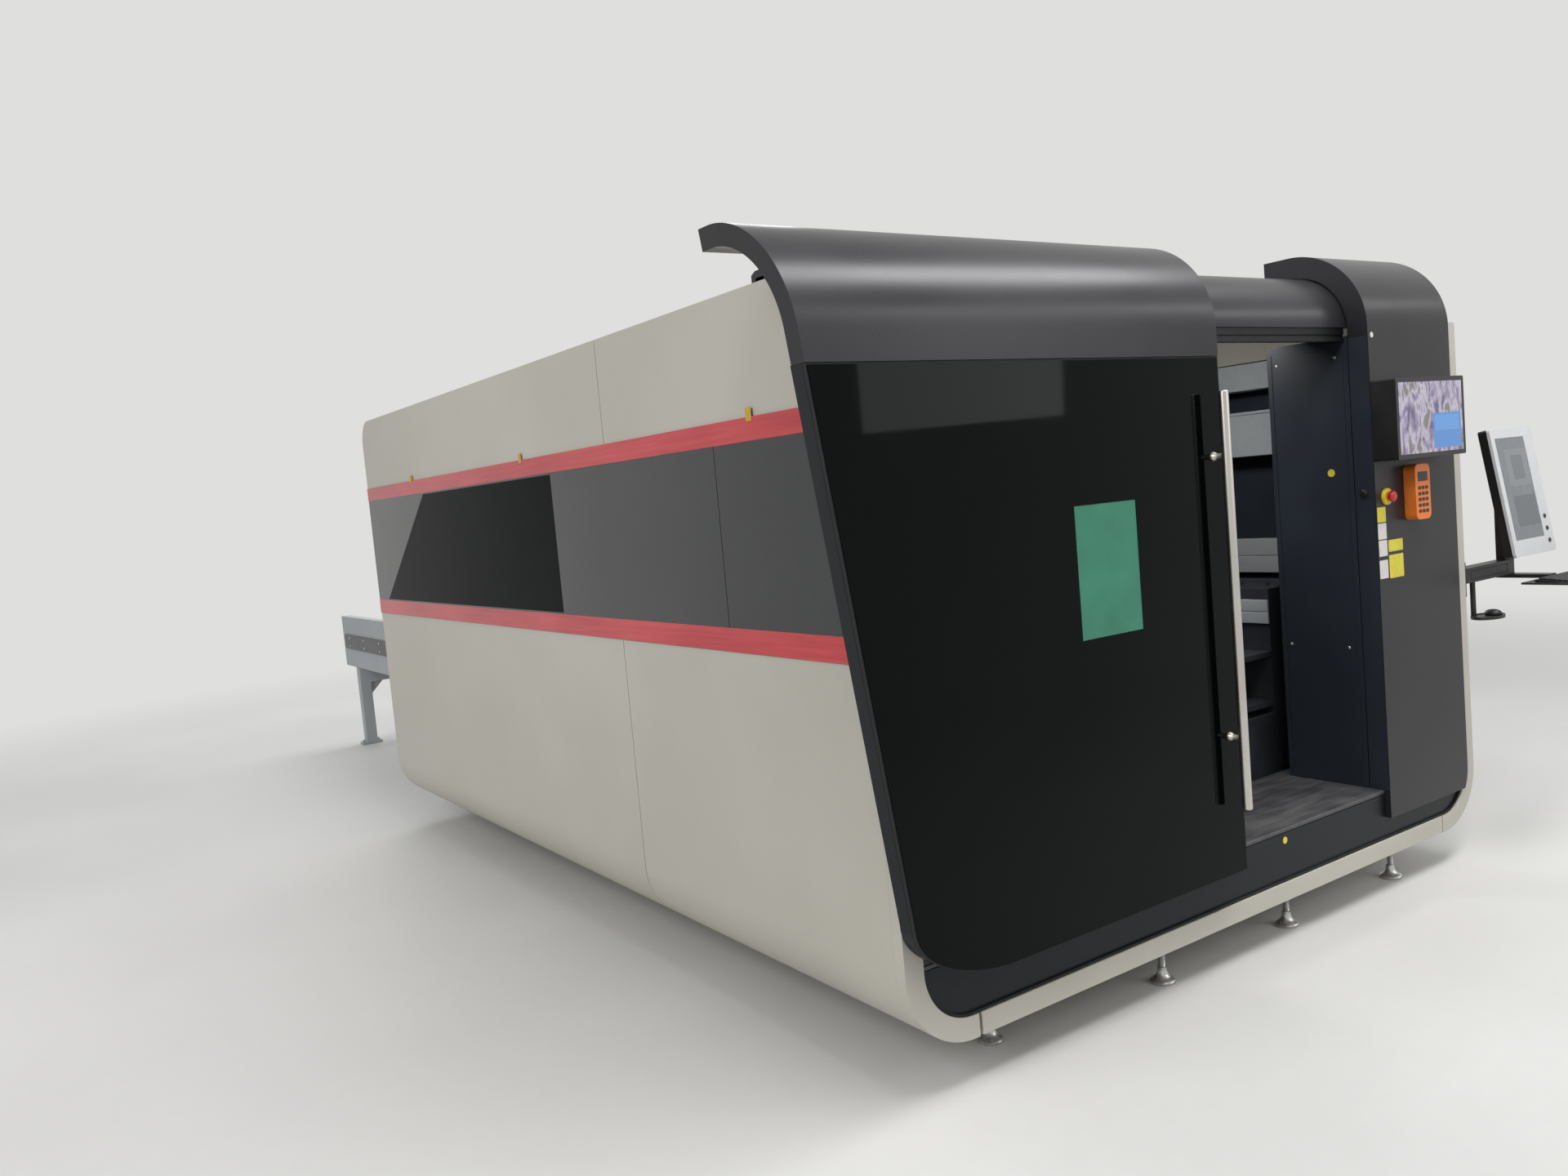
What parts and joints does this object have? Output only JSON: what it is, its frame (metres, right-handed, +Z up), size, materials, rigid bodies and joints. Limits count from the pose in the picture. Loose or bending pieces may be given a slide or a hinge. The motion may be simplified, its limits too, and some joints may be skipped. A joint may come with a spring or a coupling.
{
  "type": "fiber laser cutting machine",
  "caption": "Enclosed fiber laser sheet cutting machine with a curved pale shell, sliding glass door, gantry, pallet exchange table and operator console.",
  "frame": {"origin": "on the floor, at the middle of the whole footprint", "axes": "+X to the right seen from the front, +Y from the door towards the exchange table, +Z up"},
  "size_m": [3.7858, 7.8, 2.345],
  "materials": {
    "cream_paint": "satin powder coat",
    "charcoal_paint": "satin dark metallic paint",
    "black_glass": "gloss, near black",
    "grey_acrylic": "gloss",
    "red_acrylic": "gloss",
    "green_filter": "clear green",
    "grey_paint": "satin",
    "bare_steel": "brushed",
    "slat_steel": "mill scale, used",
    "black_plastic": "fine texture",
    "pale_plastic": "satin",
    "orange_plastic": "satin",
    "yellow_plastic": "satin",
    "red_plastic": "satin",
    "screen_glass": "screen, off-black"
  },
  "bodies": {
    "machine": {"front_rim_left": "cream_paint", "front_rim_right": "cream_paint", "front_rim_bottom": "cream_paint", "side_skin_left_front": "cream_paint", "side_skin_left_rear": "cream_paint", "side_skin_right_front": "cream_paint", "side_skin_right_rear": "cream_paint", "underside_panel": "cream_paint", "front_foot_1": "bare_steel", "front_foot_2": "bare_steel", "front_foot_3": "bare_steel", "front_foot_4": "bare_steel", "rear_wall": "cream_paint", "roof_panel": "cream_paint", "red_stripe_lower_left": "red_acrylic", "red_stripe_upper_left": "red_acrylic", "dark_band_left": "grey_acrylic", "side_window_left": "black_glass", "red_stripe_lower_right": "red_acrylic", "red_stripe_upper_right": "red_acrylic", "dark_band_right": "grey_acrylic", "side_window_right": "black_glass", "base_panel": "charcoal_paint", "sill_plate": "charcoal_paint", "fixed_front_panel": "charcoal_paint", "doorway_hood": "charcoal_paint", "right_cover": "charcoal_paint", "control_cabinet": "charcoal_paint", "bed_side_left": "grey_paint", "bed_side_right": "grey_paint", "bed_cross_front": "grey_paint", "bed_cross_rear": "grey_paint", "cable_trunking": "grey_paint", "table_beam_left": "grey_paint", "table_beam_right": "grey_paint", "table_trestle_front": "grey_paint", "table_trestle_rear": "grey_paint", "monitor_case": "black_plastic", "monitor_screen": "screen_glass", "stop_base": "yellow_plastic", "hand_remote": "orange_plastic", "console_bracket": "black_plastic"},
    "door": {"door_leaf": "charcoal_paint", "door_glass": "black_glass", "laser_filter_window": "green_filter", "door_hood": "charcoal_paint", "pull_handle": "bare_steel"},
    "gantry": {"gantry_beam": "grey_paint"},
    "carriage": {"head_carriage": "charcoal_paint"},
    "head": {"cutting_head": "bare_steel"},
    "pallet_upper": {"upper_pallet": "slat_steel"},
    "pallet_lower": {"lower_pallet": "slat_steel"},
    "arm": {"console_arm": "black_plastic"},
    "console": {"console_post": "black_plastic", "keyboard_shelf": "black_plastic", "keyboard": "black_plastic"},
    "panel": {"touch_panel": "pale_plastic", "touch_screen": "screen_glass"},
    "mouse": {"mouse_tray": "black_plastic"},
    "stop": {"stop_button": "red_plastic"}
  },
  "joints": [
    {"name": "door_slide", "type": "slide", "parent": "machine", "child": "door", "axis": [1, 0, 0], "range_m": [0, 0.9]},
    {"name": "gantry_slide", "type": "slide", "parent": "machine", "child": "gantry", "axis": [0, 1, 0], "range_m": [-2.6, 0.3]},
    {"name": "carriage_slide", "type": "slide", "parent": "gantry", "child": "carriage", "axis": [1, 0, 0], "range_m": [-1.15, 0.45]},
    {"name": "head_slide", "type": "slide", "parent": "carriage", "child": "head", "axis": [0, 0, 1], "range_m": [-0.06, 0.1]},
    {"name": "upper_pallet_slide", "type": "slide", "parent": "machine", "child": "pallet_upper", "axis": [0, 1, 0], "range_m": [0, 3.575]},
    {"name": "lower_pallet_slide", "type": "slide", "parent": "machine", "child": "pallet_lower", "axis": [0, 1, 0], "range_m": [-3.575, 0]},
    {"name": "console_arm_hinge", "type": "hinge", "parent": "machine", "child": "arm", "pos_m": [1.30788, -3.54, 1.09], "axis": [0, 0, 1], "range_deg": [-50, 70]},
    {"name": "console_swivel", "type": "hinge", "parent": "arm", "child": "console", "pos_m": [1.70288, -3.54, 1.09], "axis": [0, 0, 1], "range_deg": [-30, 30]},
    {"name": "panel_tilt", "type": "hinge", "parent": "console", "child": "panel", "pos_m": [1.70288, -3.54, 1.385], "axis": [1, 0, 0], "range_deg": [-15, 9]},
    {"name": "mouse_swivel", "type": "hinge", "parent": "arm", "child": "mouse", "pos_m": [1.42288, -3.54, 1], "axis": [0, 0, 1], "range_deg": [-60, 60]},
    {"name": "stop_press", "type": "slide", "parent": "machine", "child": "stop", "axis": [0, 1, 0], "range_m": [0, 0.006], "stiffness_N_per_m": 1500}
  ],
  "couplings": [
    {"joint": "lower_pallet_slide", "follows": "upper_pallet_slide", "ratio": -1}
  ]
}
